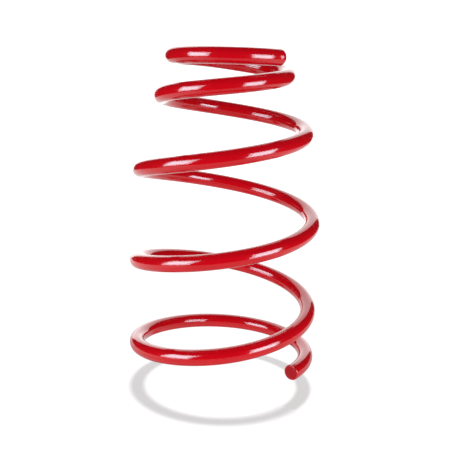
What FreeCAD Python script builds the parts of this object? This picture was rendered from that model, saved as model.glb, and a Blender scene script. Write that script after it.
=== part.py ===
import FreeCAD, Part
import math
import os

# Suspension coil spring: one length of round wire, wound as a right-handed helix.
# It is a cylinder of wide turns below, and a cone that narrows to a small coil on top.
# The wire is made in quarter turns, so that the spring can be squeezed: each active
# quarter turn twists about the wire's own direction against the one below it.
# The frame: +Z along the coil's axis, origin on that axis, level with the lowest point.

# Driving dimensions, in mm, degrees and turns of wire counted from the lower tip.
wire_diameter = 12.5
turns = 5
quarters_per_turn = 4
lower_tip_angle = -38.5

main_coil_radius = 71.5  # from the coil's axis to the centre of the wire
top_coil_radius = 45.0
cone_start_turn = 2.05
cone_end_turn = 4.65

main_pitch = 74.5  # rise per turn of the wide turns
cone_pitch = 38.0  # rise per turn of the narrow turns
main_pitch_from, main_pitch_by = 0.0, 1.1  # the rise builds up between these turns
cone_pitch_from, cone_pitch_by = 2.5, 3.9
flat_top_from, flat_top_by = 4.3, 4.55  # beyond this the top coil lies flat

top_tail_turns = 0.3  # the last of the wire straightens out a little
top_tail_flare = 5.5

lower_tip_rounding = 1.0  # radius of the edge at each cut end
upper_tip_rounding = 3.5

lower_end_quarters = 3  # coiled into the lower seat, and never twist
upper_end_quarters = 4  # coiled into the upper seat, and never twist
section_gap = 0.1  # left between two quarter turns that twist against each other

stations_per_quarter = 12
wire_radius = wire_diameter / 2


def eased(x):
    """0 up to x = 0, 1 from x = 1, and smooth between."""
    x = min(max(x, 0.0), 1.0)
    return x**3 * (10 - 15 * x + 6 * x**2)


def eased_area(x):
    """The area under eased, from 0 to x."""
    inside = min(max(x, 0.0), 1.0)
    return inside**4 * (2.5 - 3 * inside + inside**2) + max(x - 1, 0.0)


def coil_radius(turn):
    narrowed = eased((turn - cone_start_turn) / (cone_end_turn - cone_start_turn))
    tail = max(turn - (turns - top_tail_turns), 0.0) / top_tail_turns
    shrink = main_coil_radius - top_coil_radius
    return main_coil_radius - shrink * narrowed + top_tail_flare * tail**2


def wire_height(turn):
    """Height of the wire's centre: the rise per turn goes from 0 to main_pitch, to cone_pitch, to 0."""
    changes = (
        (main_pitch, main_pitch_from, main_pitch_by),
        (cone_pitch - main_pitch, cone_pitch_from, cone_pitch_by),
        (-cone_pitch, flat_top_from, flat_top_by),
    )
    height = wire_radius
    for change, start, end in changes:
        height += change * (end - start) * eased_area((turn - start) / (end - start))
    return height


def wire_centre(turn):
    angle = math.radians(lower_tip_angle) + 2 * math.pi * turn
    radius = coil_radius(turn)
    return FreeCAD.Vector(
        radius * math.cos(angle), radius * math.sin(angle), wire_height(turn)
    )


def wire_direction(turn):
    """Unit vector along the wire, going up."""
    step = 1e-5
    ahead = wire_centre(turn + step) - wire_centre(turn - step)
    return ahead.normalize()


def turns_in(length, turn):
    """How many turns a short length of wire takes up."""
    step = 1e-5
    per_turn = (wire_centre(turn + step) - wire_centre(turn - step)).Length / (2 * step)
    return length / per_turn


def wire_section(start, end):
    """A closed round bar that follows the helix, with flat ends square to the wire."""
    stations = [
        start + (end - start) * i / stations_per_quarter
        for i in range(stations_per_quarter + 1)
    ]
    spine = Part.BSplineCurve()
    spine.interpolate(
        Points=[wire_centre(turn) for turn in stations],
        InitialTangent=wire_direction(start),
        FinalTangent=wire_direction(end),
    )
    outline = Part.makeCircle(wire_radius, wire_centre(start), wire_direction(start))
    path = Part.Wire([spine.toShape()])
    return path.makePipeShell([Part.Wire([outline])], True, True)


def rounded_tip(turn, outward, rounding):
    """The last of the wire at a cut end: a short round plug whose outer edge is rounded off."""
    middle = wire_centre(turn)
    up = FreeCAD.Vector(0, 0, 1)
    across = outward.cross(up).normalize()
    corner = middle + across * (wire_radius - rounding)
    halfway = (across + outward).normalize()
    rim = corner + across * rounding
    face_edge = corner + outward * rounding
    face_middle = middle + outward * rounding
    outline = [
        Part.LineSegment(middle, rim).toShape(),
        Part.Arc(rim, corner + halfway * rounding, face_edge).toShape(),
        Part.LineSegment(face_edge, face_middle).toShape(),
        Part.LineSegment(face_middle, middle).toShape(),
    ]
    return Part.Face(Part.Wire(outline)).revolve(middle, outward, 360)


def quarter_name(index, count):
    if index < lower_end_quarters:
        return f"lower_end_quarter_{index + 1}"
    if index >= count - upper_end_quarters:
        return f"upper_end_quarter_{index - (count - upper_end_quarters) + 1}"
    return f"active_quarter_{index - lower_end_quarters + 1:02d}"


os.makedirs("parts", exist_ok=True)

quarter_count = turns * quarters_per_turn
first_twisting_cut = lower_end_quarters
last_twisting_cut = quarter_count - upper_end_quarters

for index in range(quarter_count):
    start = index / quarters_per_turn
    end = (index + 1) / quarters_per_turn
    if first_twisting_cut <= index <= last_twisting_cut:
        start += turns_in(section_gap / 2, start)
    if first_twisting_cut <= index + 1 <= last_twisting_cut:
        end -= turns_in(section_gap / 2, end)
    if index == 0:
        start += turns_in(lower_tip_rounding, start)
    if index == quarter_count - 1:
        end -= turns_in(upper_tip_rounding, end)
    shape = wire_section(start, end)
    if index == 0:
        shape = shape.fuse(rounded_tip(start, -wire_direction(start), lower_tip_rounding))
    if index == quarter_count - 1:
        shape = shape.fuse(rounded_tip(end, wire_direction(end), upper_tip_rounding))
    shape.exportStep(f"parts/{quarter_name(index, quarter_count)}.step")
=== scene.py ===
import math

import bpy
import numpy as np
from mathutils import Matrix, Vector


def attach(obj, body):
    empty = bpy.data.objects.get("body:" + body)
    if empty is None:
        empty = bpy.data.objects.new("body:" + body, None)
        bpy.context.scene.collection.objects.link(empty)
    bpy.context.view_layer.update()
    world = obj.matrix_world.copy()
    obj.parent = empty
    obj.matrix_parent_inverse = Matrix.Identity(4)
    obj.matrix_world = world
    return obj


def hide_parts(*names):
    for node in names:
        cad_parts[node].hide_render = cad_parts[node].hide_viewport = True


# A red coated suspension spring: one round wire, drawn in the same quarter turns as the CAD model.
# Lengths are metres, and places along the wire are turns counted from the lower tip.

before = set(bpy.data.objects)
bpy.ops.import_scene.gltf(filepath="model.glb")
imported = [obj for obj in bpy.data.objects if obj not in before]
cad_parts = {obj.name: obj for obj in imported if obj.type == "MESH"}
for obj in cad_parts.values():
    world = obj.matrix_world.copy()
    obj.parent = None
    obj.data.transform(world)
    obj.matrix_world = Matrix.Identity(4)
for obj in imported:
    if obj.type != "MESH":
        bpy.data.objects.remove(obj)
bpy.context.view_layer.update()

# ---- the wire, as the CAD model has it ----
WIRE_RADIUS = 0.00625
TURNS = 5
QUARTERS_PER_TURN = 4
QUARTERS = TURNS * QUARTERS_PER_TURN
LOWER_TIP_ANGLE = math.radians(-38.5)
MAIN_RADIUS, TOP_RADIUS = 0.0715, 0.045
CONE_START, CONE_END = 2.05, 4.65
MAIN_PITCH, CONE_PITCH = 0.0745, 0.038
PITCH_CHANGES = (
    (MAIN_PITCH, 0.0, 1.1),
    (CONE_PITCH - MAIN_PITCH, 2.5, 3.9),
    (-CONE_PITCH, 4.3, 4.55),
)
TAIL_TURNS, TAIL_FLARE = 0.3, 0.0055
LOWER_TIP_ROUNDING, UPPER_TIP_ROUNDING = 0.001, 0.0035
LOWER_END_QUARTERS, UPPER_END_QUARTERS = 3, 4

# ---- a bead of coating on the outer side of the wire ----
# It rises up to the start of the upper tip's rounding, and ends there in a small step.
BEAD_FROM_END, BEAD_LENGTH, BEAD_HEIGHT = 0.0032, 0.0024, 0.0007
BEAD_SPREAD = math.radians(32)

# ---- how finely it is drawn ----
SIDES = 72
SIDE_ANGLES = np.arange(SIDES) * 2 * math.pi / SIDES
RINGS_PER_QUARTER = 100
RINGS_PER_TIP = 16
SMALL_STEP = 1e-5  # in turns, to find the wire's direction


def add_object(name, data):
    added = bpy.data.objects.new(name, data)
    bpy.context.scene.collection.objects.link(added)
    return added


# ---- shapes ----
def eased(x):
    """0 up to x = 0, 1 from x = 1, and smooth between."""
    x = np.clip(x, 0.0, 1.0)
    return x**3 * (10 - 15 * x + 6 * x**2)


def eased_area(x):
    """The area under eased, from 0 to x."""
    inside = np.clip(x, 0.0, 1.0)
    return inside**4 * (2.5 - 3 * inside + inside**2) + np.maximum(x - 1, 0.0)


def wire_centres(turn):
    """Centre of the wire at each of an array of places along it."""
    cone = eased((turn - CONE_START) / (CONE_END - CONE_START))
    tail = np.maximum(turn - (TURNS - TAIL_TURNS), 0.0) / TAIL_TURNS
    radius = MAIN_RADIUS - (MAIN_RADIUS - TOP_RADIUS) * cone + TAIL_FLARE * tail**2
    height = WIRE_RADIUS + sum(
        change * (end - start) * eased_area((turn - start) / (end - start))
        for change, start, end in PITCH_CHANGES
    )
    angle = LOWER_TIP_ANGLE + 2 * math.pi * turn
    return np.stack([radius * np.cos(angle), radius * np.sin(angle), height], axis=1)


def wire_frames(turn):
    """Direction of the wire, outward normal and third axis at each place along it."""
    along = wire_centres(turn + SMALL_STEP) - wire_centres(turn - SMALL_STEP)
    along /= np.linalg.norm(along, axis=1, keepdims=True)
    angle = LOWER_TIP_ANGLE + 2 * math.pi * turn
    outward = np.stack([np.cos(angle), np.sin(angle), 0 * angle], axis=1)
    outward -= np.sum(outward * along, axis=1, keepdims=True) * along
    outward /= np.linalg.norm(outward, axis=1, keepdims=True)
    return along, outward, np.cross(along, outward)


def turns_in(length, turn):
    """How many turns a short length of wire takes up."""
    ends = wire_centres(np.array([turn - SMALL_STEP, turn + SMALL_STEP]))
    return length * 2 * SMALL_STEP / np.linalg.norm(ends[1] - ends[0])


def spokes_at(outward, across):
    """Unit vectors from the wire's centre to its surface, for SIDES places round each ring."""
    return (
        outward[:, None] * np.cos(SIDE_ANGLES)[None, :, None]
        + across[:, None] * np.sin(SIDE_ANGLES)[None, :, None]
    )


def with_bead(rings, normals, places, along, outward, across):
    """The same rings with the bead raised on them."""
    from_end = (TURNS - places) / turns_in(1.0, TURNS)
    offset = (from_end - BEAD_FROM_END) / BEAD_LENGTH
    rise = BEAD_HEIGHT * np.exp(-(offset**2) / 2)
    slope = rise * offset / BEAD_LENGTH
    from_outward = (SIDE_ANGLES + math.pi) % (2 * math.pi) - math.pi
    share = np.exp(-((from_outward / BEAD_SPREAD) ** 2) / 2)
    share_slope = -from_outward / BEAD_SPREAD**2 * share
    sideways = spokes_at(across, -outward)
    raised = rings + (rise[:, None] * share)[..., None] * normals
    tilted = (
        normals
        - (slope[:, None] * share)[..., None] * along[:, None]
        - (rise[:, None] * share_slope / WIRE_RADIUS)[..., None] * sideways
    )
    return raised, tilted / np.linalg.norm(tilted, axis=2, keepdims=True)


def rounded_tip(place, way, rounding):
    """The rounded edge of a cut end, as rings from the wire's side to the edge of its flat face."""
    here = np.array([place])
    along, outward, across = wire_frames(here)
    spokes = spokes_at(outward, across)
    turned = (np.arange(RINGS_PER_TIP) + 1) / RINGS_PER_TIP * math.pi / 2
    cosine = np.cos(turned)[:, None, None]
    sine = np.sin(turned)[:, None, None]
    normals = cosine * spokes + way * sine * along[:, None]
    corner = wire_centres(here)[:, None] + (WIRE_RADIUS - rounding) * spokes
    return corner + rounding * normals, normals


def ring_mesh(name, rings, normals, first_along, last_along):
    """A closed mesh through rings of points, smooth by the given normals, with a flat face at each end."""
    count, sides = rings.shape[:2]
    verts = rings.reshape(-1, 3)
    index = np.arange(count * sides).reshape(count, sides)
    here, there = index[:-1], index[1:]
    quads = np.stack(
        [here, np.roll(here, -1, 1), np.roll(there, -1, 1), there], axis=-1
    ).reshape(-1, 4)
    faces = quads.tolist()
    faces.append(index[0][::-1].tolist())
    faces.append(index[-1].tolist())
    mesh = bpy.data.meshes.new(name)
    mesh.from_pydata(verts.tolist(), [], faces)
    mesh.shade_smooth()
    corner_normals = np.concatenate(
        [
            normals.reshape(-1, 3)[quads.reshape(-1)],
            np.tile(-first_along, (sides, 1)),
            np.tile(last_along, (sides, 1)),
        ]
    )
    mesh.normals_split_custom_set(corner_normals.tolist())
    return add_object(name, mesh)


def tube(name, start, end):
    """A closed round bar along the wire.

    Its normals are those of the whole wire, so neighbours meet without a seam. The flat face of a
    cut end has the piece's second material.
    """
    lower_tip, upper_tip = start == 0, end == TURNS
    body_start = start + turns_in(LOWER_TIP_ROUNDING, start) * lower_tip
    body_end = end - turns_in(UPPER_TIP_ROUNDING, end) * upper_tip
    places = np.linspace(body_start, body_end, RINGS_PER_QUARTER + 1)
    along, outward, across = wire_frames(places)
    normals = spokes_at(outward, across)
    rings = wire_centres(places)[:, None] + WIRE_RADIUS * normals
    if upper_tip:
        rings, normals = with_bead(rings, normals, places, along, outward, across)
    if lower_tip:
        tip_rings, tip_normals = rounded_tip(places[0], -1, LOWER_TIP_ROUNDING)
        rings = np.concatenate([tip_rings[::-1], rings])
        normals = np.concatenate([tip_normals[::-1], normals])
    if upper_tip:
        tip_rings, tip_normals = rounded_tip(places[-1], 1, UPPER_TIP_ROUNDING)
        rings = np.concatenate([rings, tip_rings])
        normals = np.concatenate([normals, tip_normals])
    piece = ring_mesh(name, rings, normals, along[0], along[-1])
    first_face, last_face = piece.data.polygons[-2:]
    first_face.material_index = int(lower_tip)
    last_face.material_index = int(upper_tip)
    return piece


# ---- materials ----
DARKER_RED, LIGHTER_RED = (0.364, 0.0002, 0.0026), (0.414, 0.0003, 0.0036)
RAMP_FROM, RAMP_TO = 0.32, 0.68
DRIFT_SCALE, DRIFT_DETAIL = 28.0, 2.0  # noise scales are per metre
CLOUD_SCALE, CLOUD_DETAIL = 420.0, 3.0
CLOUD_SHARE = 0.35
PEEL_SCALE, PEEL_DETAIL = 520.0, 1.5
WAVE_SCALE, WAVE_DETAIL = 110.0, 1.0
WAVE_SHARE = 0.6
RELIEF_STRENGTH, RELIEF_HEIGHT = 0.1, 0.00001
SMOOTHEST, ROUGHEST = 0.24, 0.34  # of the red below its clear top layer


def node(tree, kind, inputs=None, **settings):
    """Adds a node. Each input is given as a number or as another node's output."""
    made = tree.nodes.new(kind)
    for key, value in settings.items():
        setattr(made, key, value)
    for key, value in (inputs or {}).items():
        if hasattr(value, "is_output"):
            tree.links.new(value, made.inputs[key])
        else:
            made.inputs[key].default_value = value
    return made


def noise(tree, place, scale, detail):
    settings = {"Vector": place, "Scale": scale, "Detail": detail}
    return node(tree, "ShaderNodeTexNoise", settings).outputs["Fac"]


def mix(tree, factor, first, second):
    settings = {"Factor": factor, "A": first, "B": second}
    return node(tree, "ShaderNodeMix", settings).outputs["Result"]


def red_coat(name, shade, coat_roughness):
    """Glossy red coating. Shade scales its red, and the flat faces of the cut ends are drawn with a darker
    red.
    """
    material = bpy.data.materials.new(name)
    material.use_nodes = True
    tree = material.node_tree
    tree.nodes.clear()
    place = node(tree, "ShaderNodeTexCoord").outputs["Object"]
    # the colour: slow drift of the coat's thickness, and fine cloudiness
    drift = noise(tree, place, DRIFT_SCALE, DRIFT_DETAIL)
    cloud = noise(tree, place, CLOUD_SCALE, CLOUD_DETAIL)
    mottle = mix(tree, CLOUD_SHARE, drift, cloud)
    colour = node(tree, "ShaderNodeValToRGB", {"Fac": mottle})
    ends = colour.color_ramp.elements
    for end, position, red in zip(ends, (RAMP_FROM, RAMP_TO), (DARKER_RED, LIGHTER_RED)):
        end.position = position
        end.color = (red[0] * shade, *red[1:], 1)
    # the relief: orange peel of shallow dimples about 2 mm wide, on waves of about 9 mm
    peel = noise(tree, place, PEEL_SCALE, PEEL_DETAIL)
    wave = noise(tree, place, WAVE_SCALE, WAVE_DETAIL)
    relief = mix(tree, WAVE_SHARE, peel, wave)
    bump = node(
        tree,
        "ShaderNodeBump",
        {"Height": relief, "Strength": RELIEF_STRENGTH, "Distance": RELIEF_HEIGHT},
    )
    rough = node(
        tree,
        "ShaderNodeMapRange",
        {"Value": cloud, "To Min": SMOOTHEST, "To Max": ROUGHEST},
    )
    shader = node(
        tree,
        "ShaderNodeBsdfPrincipled",
        {
            "Base Color": colour.outputs["Color"],
            "Roughness": rough.outputs["Result"],
            "Normal": bump.outputs["Normal"],
            "IOR": 1.5,
            "Specular IOR Level": 0.02,
            "Coat Weight": 1.0,
            "Coat Roughness": coat_roughness,
            "Coat IOR": 1.6,
            "Coat Normal": bump.outputs["Normal"],
        },
    )
    out = node(tree, "ShaderNodeOutputMaterial")
    tree.links.new(shader.outputs["BSDF"], out.inputs["Surface"])
    return material


COAT = red_coat("red_powder_coat", shade=1.0, coat_roughness=0.08)
CUT_FACE_COAT = red_coat("red_powder_coat_on_cut_face", shade=0.74, coat_roughness=0.15)


# ---- the spring ----
def node_and_body(index):
    """The CAD node that a quarter turn stands for, and the body it rides on."""
    from_top = QUARTERS - 1 - index
    if index < LOWER_END_QUARTERS:
        return f"lower_end_quarter_{index + 1}", "lower_end_coil"
    if from_top < UPPER_END_QUARTERS:
        return f"upper_end_quarter_{UPPER_END_QUARTERS - from_top}", "upper_end_coil"
    name = f"active_quarter_{index - LOWER_END_QUARTERS + 1:02d}"
    return name, name


PIECES = []
for index in range(QUARTERS):
    cad_node, body = node_and_body(index)
    start, end = index / QUARTERS_PER_TURN, (index + 1) / QUARTERS_PER_TURN
    piece = tube(cad_node + "_coated", start, end)
    piece.data.materials.append(COAT)
    if index in (0, QUARTERS - 1):
        piece.data.materials.append(CUT_FACE_COAT)
    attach(piece, body)
    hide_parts(cad_node)
    PIECES.append(piece)

# ---- stage: a white table, and a white backdrop that stands on its far edge ----
FLOOR_HEIGHT = -0.024
TABLE_FRONT, TABLE_BACK, TABLE_SIDE = -0.37, 1.0, 0.60
BACKDROP_SIDE, BACKDROP_TOP = 0.62, 1.5
FLOOR_GREY, BACKDROP_GREY = 0.15, 0.2
STAGE_ROUGHNESS = 0.9

# strengths of the white glow: as the camera sees it, as the coat mirrors it and as it lights things
FLOOR_SEEN, FLOOR_LIGHTING = 0.59, 1.1
BACKDROP_GLOW = 1.7
WORLD_SEEN, WORLD_MIRRORED, WORLD_LIGHTING = 1.0, 0.02, 0.35

# how bright the coat mirrors the floor, and where that begins and is reached
SIDE_MIRRORED, SIDE_FROM, SIDE_BY = 0.38, 0.12, 0.26
BACK_MIRRORED, BACK_FROM, BACK_BY = 0.42, 0.02, 0.30


def by_ray(tree, seen, mirrored, lighting):
    """A strength that differs for what the camera sees, what the coat mirrors and what lights things."""
    rays = node(tree, "ShaderNodeLightPath").outputs
    unseen = mix(tree, rays["Is Glossy Ray"], lighting, mirrored)
    return mix(tree, rays["Is Camera Ray"], unseen, seen)


def growing(tree, place, start, end, most):
    """0 up to the start, and most from the end."""
    settings = {"Value": place, "From Min": start, "From Max": end, "To Min": 0.0, "To Max": most}
    return node(tree, "ShaderNodeMapRange", settings).outputs["Result"]


def stage_material(name, grey):
    """Plain grey with a white glow. Returns its shader too, on which the caller sets the strength."""
    material = bpy.data.materials.new(name)
    material.use_nodes = True
    material.cycles.emission_sampling = "NONE"
    shader = material.node_tree.nodes["Principled BSDF"]
    shader.inputs["Base Color"].default_value = (grey, grey, grey, 1)
    shader.inputs["Roughness"].default_value = STAGE_ROUGHNESS
    shader.inputs["Emission Color"].default_value = (1, 1, 1, 1)
    return material, shader


def floor_material():
    """What the coat mirrors of the floor is brighter at the sides and towards the backdrop."""
    material, shader = stage_material("floor_white", FLOOR_GREY)
    tree = material.node_tree
    place = node(tree, "ShaderNodeTexCoord").outputs["Object"]
    axes = node(tree, "ShaderNodeSeparateXYZ", {"Vector": place}).outputs
    aside = node(tree, "ShaderNodeMath", {0: axes["X"]}, operation="ABSOLUTE").outputs["Value"]
    at_side = growing(tree, aside, SIDE_FROM, SIDE_BY, SIDE_MIRRORED)
    at_back = growing(tree, axes["Y"], BACK_FROM, BACK_BY, BACK_MIRRORED)
    mirrored = node(tree, "ShaderNodeMath", {0: at_side, 1: at_back}, operation="MAXIMUM")
    strength = by_ray(tree, FLOOR_SEEN, mirrored.outputs["Value"], FLOOR_LIGHTING)
    tree.links.new(strength, shader.inputs["Emission Strength"])
    return material


def backdrop_material():
    material, shader = stage_material("backdrop_white", BACKDROP_GREY)
    shader.inputs["Emission Strength"].default_value = BACKDROP_GLOW
    return material


def sheet(name, corners, material):
    mesh = bpy.data.meshes.new(name)
    mesh.from_pydata(corners, [], [tuple(range(len(corners)))])
    plane = add_object(name, mesh)
    plane.data.materials.append(material)
    return plane


floor = sheet(
    "floor",
    [
        (-TABLE_SIDE, TABLE_FRONT, FLOOR_HEIGHT),
        (TABLE_SIDE, TABLE_FRONT, FLOOR_HEIGHT),
        (TABLE_SIDE, TABLE_BACK, FLOOR_HEIGHT),
        (-TABLE_SIDE, TABLE_BACK, FLOOR_HEIGHT),
    ],
    floor_material(),
)
sheet(
    "backdrop",
    [
        (-BACKDROP_SIDE, TABLE_BACK, FLOOR_HEIGHT),
        (BACKDROP_SIDE, TABLE_BACK, FLOOR_HEIGHT),
        (BACKDROP_SIDE, TABLE_BACK, BACKDROP_TOP),
        (-BACKDROP_SIDE, TABLE_BACK, BACKDROP_TOP),
    ],
    backdrop_material(),
)

# ---- lights ----
LIGHT_TARGET = Vector((0, 0, 0.13))
SOFTBOX_TINT = (0.64, 1.0, 1.12)
# each softbox is a wide diffuser with a brighter middle, where its lamp shines through
DIFFUSER_DISTANCE, DIFFUSER_HEIGHT = 0.85, 0.68
LAMP_DISTANCE, LAMP_WIDTH, LAMP_HEIGHT, LAMP_POWER = 0.84, 0.40, 0.38, 2.6
# side, azimuth and elevation in degrees, width and power of the diffuser
SOFTBOXES = (
    ("left", -57, 13, 0.58, 8.0),
    ("right", 46, 4, 0.54, 7.5),
)
OVERHEAD_STRENGTH, OVERHEAD_ANGLE = 7.7, 0.16


def panel(name, azimuth, elevation, distance, width, height, power):
    """An area light that faces the spring. Azimuth 0 is the camera's side, and positive is to its right."""
    turned, raised = math.radians(azimuth), math.radians(elevation)
    way = Vector(
        (
            math.sin(turned) * math.cos(raised),
            -math.cos(turned) * math.cos(raised),
            math.sin(raised),
        )
    )
    data = bpy.data.lights.new(name, "AREA")
    data.shape = "RECTANGLE"
    data.size = width
    data.size_y = height
    data.energy = power
    data.color = SOFTBOX_TINT
    light = add_object(name, data)
    light.location = LIGHT_TARGET + way * distance
    light.rotation_euler = way.to_track_quat("Z", "Y").to_euler()
    return light


def collection_of(name, pieces):
    collection = bpy.data.collections.new(name)
    for piece in pieces:
        collection.objects.link(piece)
    return collection


def lights_only(light, pieces):
    """Keeps a light to these pieces, so that one shapes the coat and another the shadow."""
    light.light_linking.receiver_collection = collection_of(light.name + "_lights", pieces)


for side, azimuth, elevation, width, power in SOFTBOXES:
    diffuser = panel(
        f"{side}_diffuser", azimuth, elevation, DIFFUSER_DISTANCE, width, DIFFUSER_HEIGHT, power
    )
    lamp = panel(
        f"{side}_lamp", azimuth, elevation, LAMP_DISTANCE, LAMP_WIDTH, LAMP_HEIGHT, LAMP_POWER
    )
    lights_only(diffuser, PIECES)
    lights_only(lamp, PIECES)

sun = bpy.data.lights.new("overhead", "SUN")
sun.energy = OVERHEAD_STRENGTH
sun.angle = OVERHEAD_ANGLE
overhead = add_object("overhead", sun)
lights_only(overhead, [floor])
overhead.light_linking.blocker_collection = collection_of(
    "lowest_turn", PIECES[:QUARTERS_PER_TURN]
)

world = bpy.data.worlds.new("studio")
bpy.context.scene.world = world
world.use_nodes = True
world.cycles.sampling_method = "NONE"
background = world.node_tree.nodes["Background"]
background.inputs["Color"].default_value = (1, 1, 1, 1)
glow = by_ray(world.node_tree, WORLD_SEEN, WORLD_MIRRORED, WORLD_LIGHTING)
world.node_tree.links.new(glow, background.inputs["Strength"])

# ---- camera ----
CAMERA_PLACE = (0.0036, -0.5684, 0.2316)
CAMERA_LENS, CAMERA_SENSOR = 55.2, 36  # millimetres
LOOK_DOWN, LEAN = 0.2068, 0.0293  # radians below level, and turned about the line of sight

camera_data = bpy.data.cameras.new("camera")
camera_data.sensor_width = CAMERA_SENSOR
camera_data.lens = CAMERA_LENS
camera = add_object("camera", camera_data)
camera.location = CAMERA_PLACE
tilted = Matrix.Rotation(math.pi / 2 - LOOK_DOWN, 3, "X") @ Matrix.Rotation(LEAN, 3, "Z")
camera.rotation_euler = tilted.to_euler()
bpy.context.scene.camera = camera

# ---- how light becomes colour ----
# very bright samples are limited, or small reflections of the softboxes make ragged edges
BRIGHTEST_SAMPLE = 1.2
scene = bpy.context.scene
scene.view_settings.view_transform = "Standard"
scene.view_settings.look = "None"
scene.cycles.sample_clamp_direct = BRIGHTEST_SAMPLE
scene.cycles.sample_clamp_indirect = BRIGHTEST_SAMPLE
